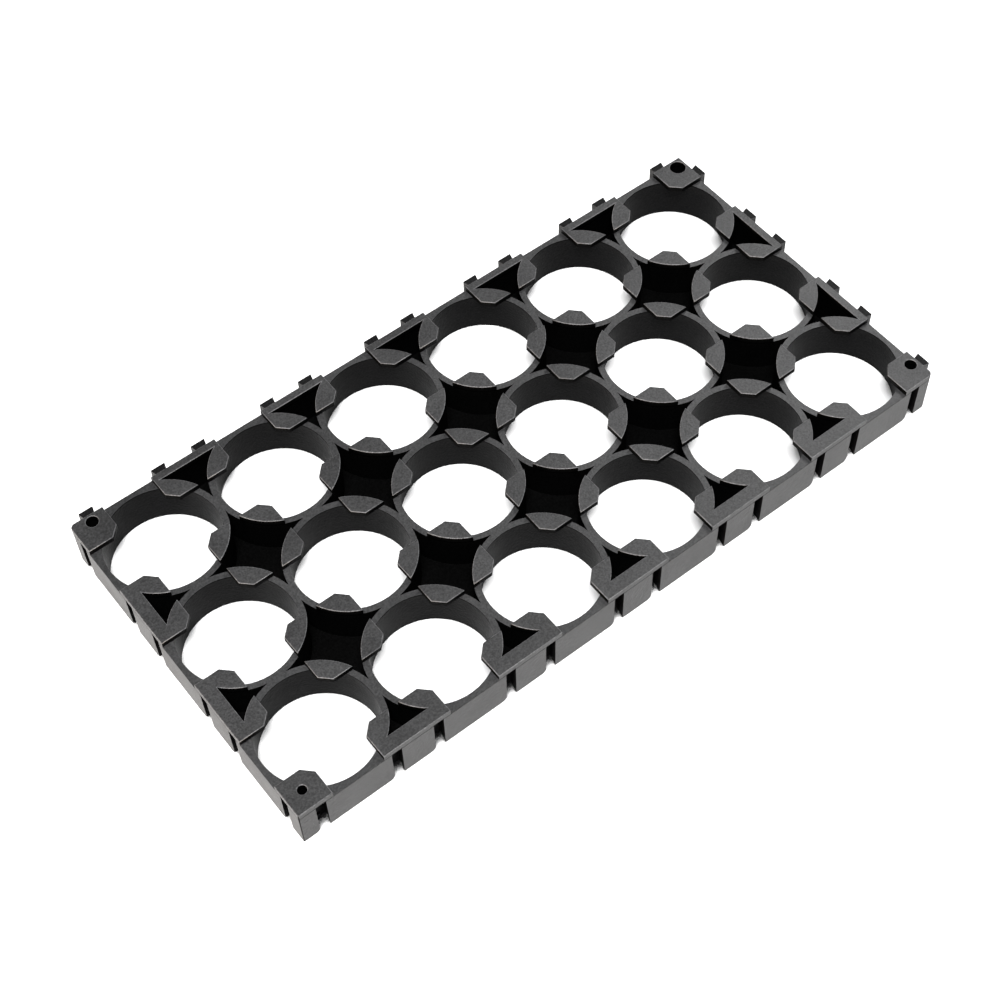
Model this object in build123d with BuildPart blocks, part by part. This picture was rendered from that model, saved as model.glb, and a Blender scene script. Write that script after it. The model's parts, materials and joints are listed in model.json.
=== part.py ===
"""Battery cell holder bracket: one moulded tile that spaces 3 x 6 round cells.

X runs along the six cells, Y across the three, Z up; the flat underside is at z = 0 and the
stop tabs are at the top. Cells go in from below and seat against the tabs.
"""

import os

from build123d import *

# --- cells and grid ---------------------------------------------------------------
cell_d = 18.4  # the cell that the bracket holds
cell_fit = 0.05  # radial play round a cell
cell_gap = 1.85  # between two neighbouring cells, both ways
columns = 6
rows = 3

# --- heights ----------------------------------------------------------------------
ring_h = 7.2  # depth of a cell seat, up to the underside of the tabs
tab_t = 1.0  # thickness of the tabs and edge plates
floor_t = 1.0  # web that closes the pockets at the bottom

# --- walls ------------------------------------------------------------------------
ring_wall = 1.0  # thinnest wall round a seat, next to a pocket
rim_slot = 2.35  # wall between pocket and outside, sides with slots
rim_rib = 1.3  # wall between pocket and outside, sides with ribs
outer_r = 0.8  # plan rounding of the left and right corners
mate_r = 0.2  # plan rounding of the two corners between like sides

# --- tabs -------------------------------------------------------------------------
tab_reach = 5.8  # half width of a tab square, centred on each grid node
tab_cut = 1.6  # leg of the 45 degree cut on its corners

# --- interlock: slots on two sides, ribs on the other two ---------------------------
key_offset = 3.65  # key centre from the grid node that it sits beside
key_mouth = 1.75  # slot width at the wall
key_root = 2.75  # slot width at its bottom
key_depth = 1.95
key_fit = 0.13  # clearance of a rib in a slot, per side
lead_in = 0.9  # rounding of the mouth's edge at the foot of each slot
detent_r = 0.5  # round button on the back wall of every other slot
detent_t = 0.3  # how far it stands out
detent_z = 0.8  # height of its centre

# --- corner screw holes: diameter, and distance from the two outer faces ------------
hole_front = (1.45, 2.75, 3.0)
hole_left = (2.0, 3.2, 1.4)
hole_right = (1.95, 1.45, 3.5)
hole_far = (2.7, 1.7, 1.7)

pitch = cell_d + cell_gap
length = columns * pitch
width = rows * pitch
height = ring_h + tab_t
seat_r = cell_d / 2 + cell_fit
ring_r = seat_r + ring_wall

nodes_x = [(i - columns / 2) * pitch for i in range(columns + 1)]
nodes_y = [(j - rows / 2) * pitch for j in range(rows + 1)]


after_node = [+key_offset]  # keys on one side of the nodes only
by_nodes = [-key_offset, +key_offset]  # keys on both sides of them


def sides(wall_x, wall_y, offsets):
    """Places of the keys beside the nodes, on the walls at x = wall_x and y = wall_y."""
    xs = [n + o for n in nodes_x for o in offsets if abs(n + o) < length / 2]
    ys = [n + o for n in nodes_y for o in offsets if abs(n + o) < width / 2]
    along_x = [Location((x, wall_y, 0)) for x in xs]
    along_y = [Location((wall_x, y, 0), (0, 0, -90)) for y in ys]
    return along_x + along_y


def dovetail(mouth, root, depth):
    """Key profile that opens at y = 0 and widens to y = depth."""
    with BuildSketch() as profile:
        with BuildLine():
            Polyline(
                (-mouth / 2, 0), (mouth / 2, 0), (root / 2, depth), (-root / 2, depth), close=True
            )
        make_face()
    return profile.sketch


# one slot as a tool: the keyway, and one edge of its mouth rounded off at the foot
with BuildPart() as slot:
    add(dovetail(key_mouth, key_root, key_depth))
    extrude(amount=ring_h)
    with BuildSketch(Plane.XZ):
        with Locations((-key_mouth / 2, 0)):
            Rectangle(lead_in, lead_in, align=(Align.MAX, Align.MIN))
        with Locations((-key_mouth / 2 - lead_in, lead_in)):
            Circle(lead_in, mode=Mode.SUBTRACT)
    extrude(amount=-key_depth)

# one rib, the same key less its clearance
with BuildPart() as rib:
    add(dovetail(key_mouth - 2 * key_fit, key_root - 2 * key_fit, key_depth - key_fit))
    extrude(amount=ring_h - key_fit)

with BuildSketch() as outline:
    Rectangle(length, width)
    left_right = [v for v in outline.vertices() if v.X * v.Y < 0]
    fillet(left_right, outer_r)
    front_far = [v for v in outline.vertices() if abs(v.X + v.Y) > (length + width) / 2 - mate_r]
    fillet(front_far, mate_r)

# pockets: what the rings leave over inside the rim, all but the four corners
with BuildSketch(Plane.XY.offset(floor_t)) as pockets:
    with Locations(((rim_slot - rim_rib) / 2, (rim_slot - rim_rib) / 2)):
        Rectangle(length - rim_slot - rim_rib, width - rim_slot - rim_rib)
    with GridLocations(pitch, pitch, columns, rows):
        Circle(ring_r, mode=Mode.SUBTRACT)
    with GridLocations(length, width, 2, 2):
        Rectangle(pitch, pitch, mode=Mode.SUBTRACT)

with BuildPart() as bracket:
    add(outline.sketch)
    extrude(amount=ring_h)

    # stop tabs and edge plates: a cut square on every grid node, trimmed by the outline
    with BuildSketch(Plane.XY.offset(ring_h)):
        with GridLocations(pitch, pitch, columns + 1, rows + 1):
            plate = Rectangle(2 * tab_reach, 2 * tab_reach)
        chamfer(plate.vertices(), tab_cut)
        add(outline.sketch, mode=Mode.INTERSECT)
    extrude(amount=tab_t)

    with Locations(*sides(length / 2, width / 2, by_nodes)):
        add(rib.part)

    # cell seats, open below and stopped by the tabs above
    with BuildSketch():
        with GridLocations(pitch, pitch, columns, rows):
            Circle(seat_r)
    extrude(amount=ring_h, mode=Mode.SUBTRACT)

    extrude(pockets.sketch, amount=height, mode=Mode.SUBTRACT)

    with Locations(*sides(-length / 2, -width / 2, by_nodes)):
        add(slot.part, mode=Mode.SUBTRACT)
    button = Pos(0, key_depth - detent_t / 2, detent_z) * Rot(90, 0, 0)
    with Locations(*[place * button for place in sides(-length / 2, -width / 2, after_node)]):
        Cylinder(detent_r, detent_t)

    # corner screw holes, each at its own place
    corners = [
        (hole_front, -1, -1),
        (hole_left, -1, 1),
        (hole_right, 1, -1),
        (hole_far, 1, 1),
    ]
    with BuildSketch():
        for (hole_d, from_x, from_y), sx, sy in corners:
            with Locations((sx * (length / 2 - from_x), sy * (width / 2 - from_y))):
                Circle(hole_d / 2)
    extrude(amount=height, mode=Mode.SUBTRACT)

os.makedirs("parts", exist_ok=True)
bracket.part.label = "cell_holder_bracket"
export_step(bracket.part, "parts/cell_holder_bracket.step")
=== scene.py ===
import json
import math

import bmesh
import bpy
from mathutils import Matrix, Vector


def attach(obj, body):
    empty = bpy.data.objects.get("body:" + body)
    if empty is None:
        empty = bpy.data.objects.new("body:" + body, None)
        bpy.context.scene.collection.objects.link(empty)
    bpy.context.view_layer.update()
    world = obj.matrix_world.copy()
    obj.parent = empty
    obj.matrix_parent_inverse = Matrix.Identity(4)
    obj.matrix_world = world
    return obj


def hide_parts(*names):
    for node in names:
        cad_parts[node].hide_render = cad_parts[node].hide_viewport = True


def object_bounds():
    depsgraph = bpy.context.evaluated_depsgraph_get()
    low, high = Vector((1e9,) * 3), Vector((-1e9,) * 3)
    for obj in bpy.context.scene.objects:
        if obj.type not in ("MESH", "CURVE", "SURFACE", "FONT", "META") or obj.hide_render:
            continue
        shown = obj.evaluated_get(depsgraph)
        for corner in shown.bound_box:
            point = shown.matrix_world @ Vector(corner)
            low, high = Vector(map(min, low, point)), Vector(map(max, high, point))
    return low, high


bl_info = {
    "name": "Battery Cell Holder Bracket",
    "version": (1, 0, 0),
    "blender": (4, 5, 0),
    "location": "View3D > Sidebar > Cell Holder",
    "description": "Builds a moulded battery cell holder bracket with its finish and its studio",
    "category": "Add Mesh",
}

# The frame is loaded first, so that the defaults below can come from it.
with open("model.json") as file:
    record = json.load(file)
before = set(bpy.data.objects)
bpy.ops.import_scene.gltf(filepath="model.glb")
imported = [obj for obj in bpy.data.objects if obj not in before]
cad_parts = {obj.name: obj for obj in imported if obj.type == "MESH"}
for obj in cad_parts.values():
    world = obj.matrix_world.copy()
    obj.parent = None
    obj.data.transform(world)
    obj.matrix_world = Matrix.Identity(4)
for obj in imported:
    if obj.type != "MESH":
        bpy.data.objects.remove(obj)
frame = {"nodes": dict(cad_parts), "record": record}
CAD_LOW, CAD_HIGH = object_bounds()
BODY = "root"
NODE = "cell_holder_bracket"
MM = 0.001

MOUNTS = frame["record"]["mounts"]
SEATS = [m for m in MOUNTS if m["name"].startswith("seat_")]
TAB_FOOT = SEATS[0]["dims"]["length_mm"] * MM  # underside of the tabs
SLOT_SIDES = CAD_LOW.xy  # the two walls with slots; the ribs stand outside the other two
OUTLINE = -2 * SLOT_SIDES  # length and width without the ribs

# How far a face's centre may lie from where it is looked for.
ON_WALL = 0.02 * MM
ON_LEVEL = 0.1 * MM
ON_SEAT = 0.2 * MM
SLOT_REACH = 2.2 * MM  # from a slotted wall to just past the back of its slots

# Finishes, in the order of the material slots: the seat and deep finishes are the plastic darkened with
# painted shade, the rim finish is paler with a painted highlight.
OUTSIDE, SEAT_SHADE, DEEP_SHADE, RIM_HIGHLIGHT = range(4)

# Soft boxes: place, then width and height.
TOP_BOX = (-0.20, -0.27, 0.80), (0.3, 0.3)
LEFT_BOX = (-0.80, -0.10, 0.055), (0.7, 0.09)
FRONT_BOX = (0.10, -0.80, 0.055), (0.7, 0.09)
BACK_BOX = (0.22, 0.10, 0.25), (0.12, 0.12)
WHITE = (1.0, 1.0, 1.0)
WARM = (1.0, 0.88, 0.77)


# ---------------------------------------------------------------------------
# Settings
# ---------------------------------------------------------------------------


class CellHolderMoulding(bpy.types.PropertyGroup):
    edge_round: bpy.props.FloatProperty(
        name="Edge Round", description="Radius that the mould leaves on the rims of tabs and plates",
        default=0.10 * MM, min=0.0, unit="LENGTH",
    )
    # half width of a thin dark band just under the tabs and edge plates
    under_plate_band: bpy.props.FloatProperty(
        name="Under-Plate Band", description="Half width of the line between the mould halves",
        default=0.10 * MM, min=0.0, unit="LENGTH",
    )
    edge_angle: bpy.props.FloatProperty(
        name="Edge Angle", description="Rims sharper than this are rounded",
        default=math.radians(32), subtype="ANGLE",
    )
    plastic: bpy.props.FloatVectorProperty(
        name="Plastic", description="Colour of the black plastic",
        default=(0.0175, 0.0175, 0.0180), size=3, min=0.0, max=1.0, subtype="COLOR",
    )
    # painted shade: a darker copy of the plastic for the walls of seats and slots and the undersides of
    # tabs and plates
    shaded_seat_plastic: bpy.props.FloatVectorProperty(
        name="Seat Plastic", description="Colour of the smoother walls of seats and slots",
        default=(0.0022, 0.0022, 0.0023), size=3, min=0.0, max=1.0, subtype="COLOR",
    )
    # painted shade: a still darker copy of the plastic for pockets, tab sides and screw holes
    shaded_deep_plastic: bpy.props.FloatVectorProperty(
        name="Deep Plastic", description="Colour of pockets, tab sides and screw holes",
        default=(0.0009, 0.0009, 0.0009), size=3, min=0.0, max=1.0, subtype="COLOR",
    )
    speck: bpy.props.FloatVectorProperty(
        name="Speck", description="Colour of the pale dust specks in the finish",
        default=(0.30, 0.30, 0.30), size=3, min=0.0, max=1.0, subtype="COLOR",
    )
    roughness: bpy.props.FloatProperty(
        name="Roughness", description="Roughness of the spark-eroded finish",
        default=0.45, min=0.0, max=1.0, subtype="FACTOR",
    )
    gloss: bpy.props.FloatProperty(
        name="Gloss", description="Strength of the plastic's reflection",
        default=0.28, min=0.0, max=1.0, subtype="FACTOR",
    )
    seat_gloss: bpy.props.FloatProperty(
        name="Seat Gloss", description="Reflection of seats and slots, as a share of the gloss",
        default=0.115, min=0.0, max=1.0, subtype="FACTOR",
    )
    deep_gloss: bpy.props.FloatProperty(
        name="Deep Gloss", description="Reflection of the pockets, as a share of the gloss",
        default=0.05, min=0.0, max=1.0, subtype="FACTOR",
    )
    # weaker reflection in the thin dark band under the tabs and edge plates
    line_gloss: bpy.props.FloatProperty(
        name="Line Gloss", description="Reflection of the parting line, as a share of the gloss",
        default=0.15, min=0.0, max=1.0, subtype="FACTOR",
    )
    # painted highlight on the rounded top rims of tabs and plates
    rim_highlight: bpy.props.FloatProperty(
        name="Rim Highlight", description="How many times paler the rims are than the plastic",
        default=3.2, min=0.0,
    )
    grain: bpy.props.FloatProperty(
        name="Grain", description="Size of one grain of the spark-eroded finish",
        default=0.27 * MM, min=0.01 * MM, unit="LENGTH",
    )


class CellHolderStage(bpy.types.PropertyGroup):
    floor_colour: bpy.props.FloatVectorProperty(
        name="Floor", description="Colour of the pale floor",
        default=(0.56, 0.56, 0.56), size=3, min=0.0, max=1.0, subtype="COLOR",
    )
    floor_glow: bpy.props.FloatProperty(
        name="Floor Glow", description="Light that the back-lit floor gives by itself",
        default=0.25, min=0.0,
    )
    floor_size: bpy.props.FloatProperty(
        name="Floor Size", description="Width of the square floor", default=3.0, unit="LENGTH",
    )
    lens: bpy.props.FloatProperty(
        name="Lens", description="Focal length of the camera", default=67.526, unit="CAMERA",
    )
    room_light: bpy.props.FloatProperty(
        name="Room Light", description="Strength of the white room round the stage",
        default=0.20, min=0.0,
    )
    top_light: bpy.props.FloatProperty(
        name="Top Light", description="Power of the soft box overhead", default=18.5, min=0.0,
        unit="POWER",
    )
    left_light: bpy.props.FloatProperty(
        name="Left Light", description="Power of the low warm soft box at the left",
        default=20.0, min=0.0, unit="POWER",
    )
    front_light: bpy.props.FloatProperty(
        name="Front Light", description="Power of the low soft box in front", default=4.0,
        min=0.0, unit="POWER",
    )
    back_light: bpy.props.FloatProperty(
        name="Back Light", description="Power of the small soft box above the ribbed end", default=0.62,
        min=0.0, unit="POWER",
    )
    azimuth: bpy.props.FloatProperty(
        name="Azimuth", description="Direction from the bracket to the camera, from +X towards +Y",
        default=math.radians(-126.2935), subtype="ANGLE",
    )
    elevation: bpy.props.FloatProperty(
        name="Elevation", description="Height of the camera above the horizon",
        default=math.radians(55.6889), subtype="ANGLE",
    )
    roll: bpy.props.FloatProperty(
        name="Roll", description="Turn of the camera about its own line of sight",
        default=math.radians(-2.1247), subtype="ANGLE",
    )
    distance: bpy.props.FloatProperty(
        name="Distance", description="From the camera to the plane through the bracket's origin",
        default=295.655 * MM, unit="LENGTH",
    )
    aside: bpy.props.FloatVectorProperty(
        name="Aside", description="Sideways and upward shift of the camera in its own plane",
        default=(-1.830 * MM, -3.350 * MM), size=2, unit="LENGTH",
    )


# ---------------------------------------------------------------------------
# Node helpers
# ---------------------------------------------------------------------------


class Nodes:
    """A material's node tree, filled by short calls."""

    def __init__(self, name):
        self.material = bpy.data.materials.new(name)
        self.material.use_nodes = True
        self.tree = self.material.node_tree
        self.tree.nodes.clear()

    def add(self, kind, inputs=None, **settings):
        node = self.tree.nodes.new(kind)
        for key, value in settings.items():
            setattr(node, key, value)
        for key, value in (inputs or {}).items():
            if isinstance(value, bpy.types.NodeSocket):
                self.tree.links.new(value, node.inputs[key])
            else:
                node.inputs[key].default_value = value
        return node

    def mix(self, blend, factor, first, second):
        node = self.add(
            "ShaderNodeMix", {0: factor, 6: first, 7: second}, data_type="RGBA", blend_type=blend
        )
        return node.outputs[2]

    def ramp(self, value, stops):
        """Two stops, each a position and a colour."""
        node = self.add("ShaderNodeValToRGB", {"Fac": value})
        for element, (position, colour) in zip(node.color_ramp.elements, stops):
            element.position, element.color = position, colour
        return node.outputs["Color"]


def grey(value):
    return (value, value, value, 1.0)


def plastic_finish(settings, name, colour, gloss, roughness, dust_colour):
    """Black plastic with the fine spark texture of the mould and a few specks of dust."""
    n = Nodes(name)
    place = n.add("ShaderNodeTexCoord").outputs["Object"]
    grain = n.add(
        "ShaderNodeTexNoise",
        {"Vector": place, "Scale": 1 / settings.grain, "Detail": 3.0, "Roughness": 0.6},
    ).outputs["Fac"]
    pits = n.add(
        "ShaderNodeTexVoronoi", {"Vector": place, "Scale": 1 / (1.6 * settings.grain)},
        feature="F1",
    ).outputs["Distance"]
    flow = n.add(
        "ShaderNodeTexNoise", {"Vector": place, "Scale": 90.0, "Detail": 4.0, "Roughness": 0.55},
    ).outputs["Fac"]
    # colour: slow shifts from the flow of the melt, grain on top, rare pale specks
    shade = n.ramp(flow, [(0.3, grey(0.82)), (0.7, grey(1.18))])
    grain_shade = n.ramp(grain, [(0.34, grey(0.52)), (0.66, grey(1.5))])
    height_up = n.add("ShaderNodeSeparateXYZ", {0: place}).outputs["Z"]
    tone = n.mix("MULTIPLY", 1.0, n.mix("MULTIPLY", 1.0, (*colour, 1.0), shade), grain_shade)
    dust = n.add("ShaderNodeTexVoronoi", {"Vector": place, "Scale": 900.0}, feature="F1")
    rare = n.add("ShaderNodeMath", {0: dust.outputs["Color"], 1: 0.94}, operation="GREATER_THAN")
    near = n.add("ShaderNodeMath", {0: dust.outputs["Distance"], 1: 0.11}, operation="LESS_THAN")
    speck = n.add("ShaderNodeMath", {0: rare.outputs[0], 1: near.outputs[0]}, operation="MULTIPLY")
    final = n.mix("MIX", speck.outputs[0], tone, (*dust_colour, 1.0))
    # a thin band just under the tabs and edge plates, darker and with weaker reflection
    line = n.add(
        "ShaderNodeMath",
        {0: height_up, 1: TAB_FOOT - 1.2 * settings.under_plate_band, 2: settings.under_plate_band},
        operation="COMPARE",
    ).outputs[0]
    final = n.mix("MULTIPLY", line, final, grey(0.3))
    shine = n.add(
        "ShaderNodeMapRange",
        {"Value": line, "To Min": gloss, "To Max": settings.line_gloss * gloss},
    ).outputs["Result"]
    rough = n.add(
        "ShaderNodeMapRange",
        {"Value": flow, "From Min": 0.3, "From Max": 0.7,
         "To Min": roughness - 0.05, "To Max": roughness + 0.07},
    ).outputs["Result"]
    height = n.add("ShaderNodeMath", {0: grain, 1: pits}, operation="ADD").outputs[0]
    bump = n.add(
        "ShaderNodeBump", {"Strength": 0.55, "Distance": 0.05 * MM, "Height": height},
    ).outputs["Normal"]
    shader = n.add(
        "ShaderNodeBsdfPrincipled",
        {"Base Color": final, "Roughness": rough, "Normal": bump,
         "Specular IOR Level": shine},
    )
    n.add("ShaderNodeOutputMaterial", {"Surface": shader.outputs["BSDF"]})
    return n.material


def floor_finish(colour, glow):
    """Matt pale paper, faintly lit from below, with a slow change of tone and painted shadow where it
    is shut in.
    """
    n = Nodes("floor_paper")
    place = n.add("ShaderNodeTexCoord").outputs["Object"]
    cloud = n.add("ShaderNodeTexNoise", {"Vector": place, "Scale": 4.0, "Detail": 2.0}).outputs["Fac"]
    tone = n.ramp(cloud, [(0.3, (*[c * 0.99 for c in colour], 1.0)), (0.7, (*colour, 1.0))])
    # painted shadow: the paper and its glow are darkened where it is shut in, as in the feet of the
    # slots where no light reaches
    open_sky = n.add("ShaderNodeAmbientOcclusion", {"Distance": 3.0 * MM}, samples=8).outputs["AO"]
    painted_contact_shadow = n.ramp(open_sky, [(0.37, grey(0.004)), (0.50, grey(1.0))])
    shader = n.add("ShaderNodeBsdfDiffuse", {"Color": n.mix("MULTIPLY", 1.0, tone, painted_contact_shadow)})
    lit = n.add("ShaderNodeEmission", {"Color": painted_contact_shadow, "Strength": glow})
    both = n.add("ShaderNodeAddShader", {0: shader.outputs["BSDF"], 1: lit.outputs[0]})
    n.add("ShaderNodeOutputMaterial", {"Surface": both.outputs[0]})
    return n.material


# ---------------------------------------------------------------------------
# Moulding
# ---------------------------------------------------------------------------


def axis_gap(mount, point):
    """Distance of a point from the wall of a round hole, negative inside the hole."""
    centre = Vector(mount["pos_m"][:2])
    return (point.xy - centre).length - mount["dims"]["r_mm"] * MM


def finish_of(face):
    """The finish of a face, from where it lies and which way it looks: the faces of seats, slots,
    pockets, tab sides and undersides get the darker finishes of painted shade.
    """
    spot, normal = face.center, face.normal
    from_outline = min(OUTLINE.x / 2 - abs(spot.x), OUTLINE.y / 2 - abs(spot.y))
    if from_outline < ON_WALL or spot.z < ON_LEVEL:
        return OUTSIDE
    if abs(normal.z) < 0.5:
        if spot.z >= TAB_FOOT:
            return DEEP_SHADE
        on_seat = min(abs(axis_gap(seat, spot)) for seat in SEATS) < ON_SEAT
        in_slot = min(spot.x - SLOT_SIDES.x, spot.y - SLOT_SIDES.y) < SLOT_REACH
        return SEAT_SHADE if on_seat or in_slot else DEEP_SHADE
    if spot.z < TAB_FOOT - ON_LEVEL:
        return DEEP_SHADE
    return SEAT_SHADE if normal.z < 0 else OUTSIDE


class CELLHOLDER_OT_moulding(bpy.types.Operator):
    """Build the moulding: the CAD solid with rounded edges and its plastic finish"""

    bl_idname = "cellholder.moulding"
    bl_label = "Moulding"

    def execute(self, context):
        settings = context.scene.cell_holder_moulding
        bm = bmesh.new()
        bm.from_mesh(frame["nodes"][NODE].data)
        bmesh.ops.remove_doubles(bm, verts=bm.verts, dist=0.002 * MM)
        bmesh.ops.recalc_face_normals(bm, faces=bm.faces)
        bmesh.ops.dissolve_limit(
            bm, angle_limit=math.radians(0.5), verts=bm.verts, edges=bm.edges,
            use_dissolve_boundaries=False, delimit=set(),
        )
        rims = bm.edges.layers.float.new("bevel_weight_edge")
        for edge in bm.edges:
            sharp = edge.calc_face_angle(0.0) > settings.edge_angle
            at_top = min(v.co.z for v in edge.verts) > CAD_HIGH.z - 0.01 * MM
            edge[rims] = float(sharp and at_top)
            edge.smooth = at_top or not sharp
        mesh = bpy.data.meshes.new("moulding")
        bm.to_mesh(mesh)
        bm.free()
        moulding = bpy.data.objects.new("moulding", mesh)
        context.scene.collection.objects.link(moulding)
        outer, seat, deep = settings.plastic, settings.shaded_seat_plastic, settings.shaded_deep_plastic
        # painted highlight: the rims are paler than the plastic
        edge = [min(1.0, settings.rim_highlight * c) for c in outer]
        gloss, dust = settings.gloss, settings.speck
        # the seat and deep copies are the plastic with painted shade: darker, with weaker reflection
        for name, colour, shine, dust_colour in (
            ("black_plastic", outer, gloss, dust),
            ("shaded_seat_plastic", seat, settings.seat_gloss * gloss, seat),
            ("shaded_deep_plastic", deep, settings.deep_gloss * gloss, deep),
            ("rim_highlight_plastic", edge, gloss, dust),
        ):
            mesh.materials.append(
                plastic_finish(settings, name, colour, shine, settings.roughness, dust_colour)
            )
        for face in mesh.polygons:
            face.use_smooth = True
            face.material_index = finish_of(face)
        rounding = moulding.modifiers.new("edge_round", "BEVEL")
        rounding.width = settings.edge_round
        rounding.segments = 2
        rounding.limit_method = "WEIGHT"
        rounding.harden_normals = True
        rounding.use_clamp_overlap = False
        # the rounded rims take the paler finish, a painted highlight
        rounding.material = RIM_HIGHLIGHT
        weighted = moulding.modifiers.new("flat_faces", "WEIGHTED_NORMAL")
        weighted.keep_sharp = True
        weighted.weight = 100
        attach(moulding, BODY)
        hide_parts(NODE)
        return {"FINISHED"}


# ---------------------------------------------------------------------------
# Stage
# ---------------------------------------------------------------------------


def soft_box(name, place, size, power, colour):
    """A soft box at place that looks at the bracket."""
    data = bpy.data.lights.new(name, "AREA")
    data.shape = "RECTANGLE"
    data.size, data.size_y = size
    data.energy = power
    data.color = colour
    lamp = bpy.data.objects.new(name, data)
    bpy.context.scene.collection.objects.link(lamp)
    lamp.location = place
    lamp.rotation_euler = (-Vector(place)).to_track_quat("-Z", "Y").to_euler()
    return lamp


class CELLHOLDER_OT_stage(bpy.types.Operator):
    """Build the floor, the soft studio light and the camera"""

    bl_idname = "cellholder.stage"
    bl_label = "Stage"

    def execute(self, context):
        scene = context.scene
        stage = scene.cell_holder_stage

        bm = bmesh.new()
        bmesh.ops.create_grid(bm, x_segments=1, y_segments=1, size=stage.floor_size / 2)
        bmesh.ops.translate(bm, verts=bm.verts, vec=(0, 0, CAD_LOW.z - 0.02 * MM))
        mesh = bpy.data.meshes.new("floor")
        bm.to_mesh(mesh)
        bm.free()
        floor = bpy.data.objects.new("floor", mesh)
        scene.collection.objects.link(floor)
        mesh.materials.append(floor_finish(stage.floor_colour, stage.floor_glow))

        world = bpy.data.worlds.new("studio")
        world.use_nodes = True
        room = world.node_tree.nodes["Background"]
        room.inputs["Color"].default_value = (1.0, 1.0, 1.0, 1.0)
        room.inputs["Strength"].default_value = stage.room_light
        scene.world = world

        soft_box("top_box", *TOP_BOX, stage.top_light, WHITE)
        soft_box("left_box", *LEFT_BOX, stage.left_light, WARM)
        soft_box("front_box", *FRONT_BOX, stage.front_light, WHITE)
        soft_box("back_box", *BACK_BOX, stage.back_light, WHITE)

        data = bpy.data.cameras.new("camera")
        data.sensor_width = 36.0
        data.lens = stage.lens
        data.clip_start, data.clip_end = 0.01, 20.0
        camera = bpy.data.objects.new("camera", data)
        scene.collection.objects.link(camera)
        a, e, r = stage.azimuth, stage.elevation, stage.roll
        back = Vector((math.cos(a) * math.cos(e), math.sin(a) * math.cos(e), math.sin(e)))
        right = Vector((-math.sin(a), math.cos(a), 0.0))
        up = back.cross(right)
        right, up = (
            math.cos(r) * right + math.sin(r) * up,
            math.cos(r) * up - math.sin(r) * right,
        )
        place = stage.aside[0] * right + stage.aside[1] * up + stage.distance * back
        turn = Matrix((right, up, back)).transposed().to_4x4()
        camera.matrix_world = Matrix.Translation(place) @ turn
        scene.camera = camera
        scene.view_settings.view_transform = "Standard"
        return {"FINISHED"}


# ---------------------------------------------------------------------------
# Panel and registration
# ---------------------------------------------------------------------------


class CELLHOLDER_PT_panel(bpy.types.Panel):
    """Sizes, colours and build steps of the bracket"""

    bl_idname = "CELLHOLDER_PT_panel"
    bl_label = "Cell Holder Bracket"
    bl_space_type = "VIEW_3D"
    bl_region_type = "UI"
    bl_category = "Cell Holder"

    def draw(self, context):
        for group in (context.scene.cell_holder_moulding, context.scene.cell_holder_stage):
            box = self.layout.box()
            for name in group.__annotations__:
                box.prop(group, name)
        for step in STEPS:
            self.layout.operator(step.bl_idname)


STEPS = (CELLHOLDER_OT_moulding, CELLHOLDER_OT_stage)
CLASSES = (CellHolderMoulding, CellHolderStage, *STEPS, CELLHOLDER_PT_panel)


def register():
    for cls in CLASSES:
        bpy.utils.register_class(cls)
    bpy.types.Scene.cell_holder_moulding = bpy.props.PointerProperty(type=CellHolderMoulding)
    bpy.types.Scene.cell_holder_stage = bpy.props.PointerProperty(type=CellHolderStage)


def unregister():
    del bpy.types.Scene.cell_holder_stage
    del bpy.types.Scene.cell_holder_moulding
    for cls in reversed(CLASSES):
        bpy.utils.unregister_class(cls)


def main():
    """Build every piece in order."""
    register()
    bpy.ops.cellholder.moulding()
    bpy.ops.cellholder.stage()


if __name__ == "__main__":
    main()
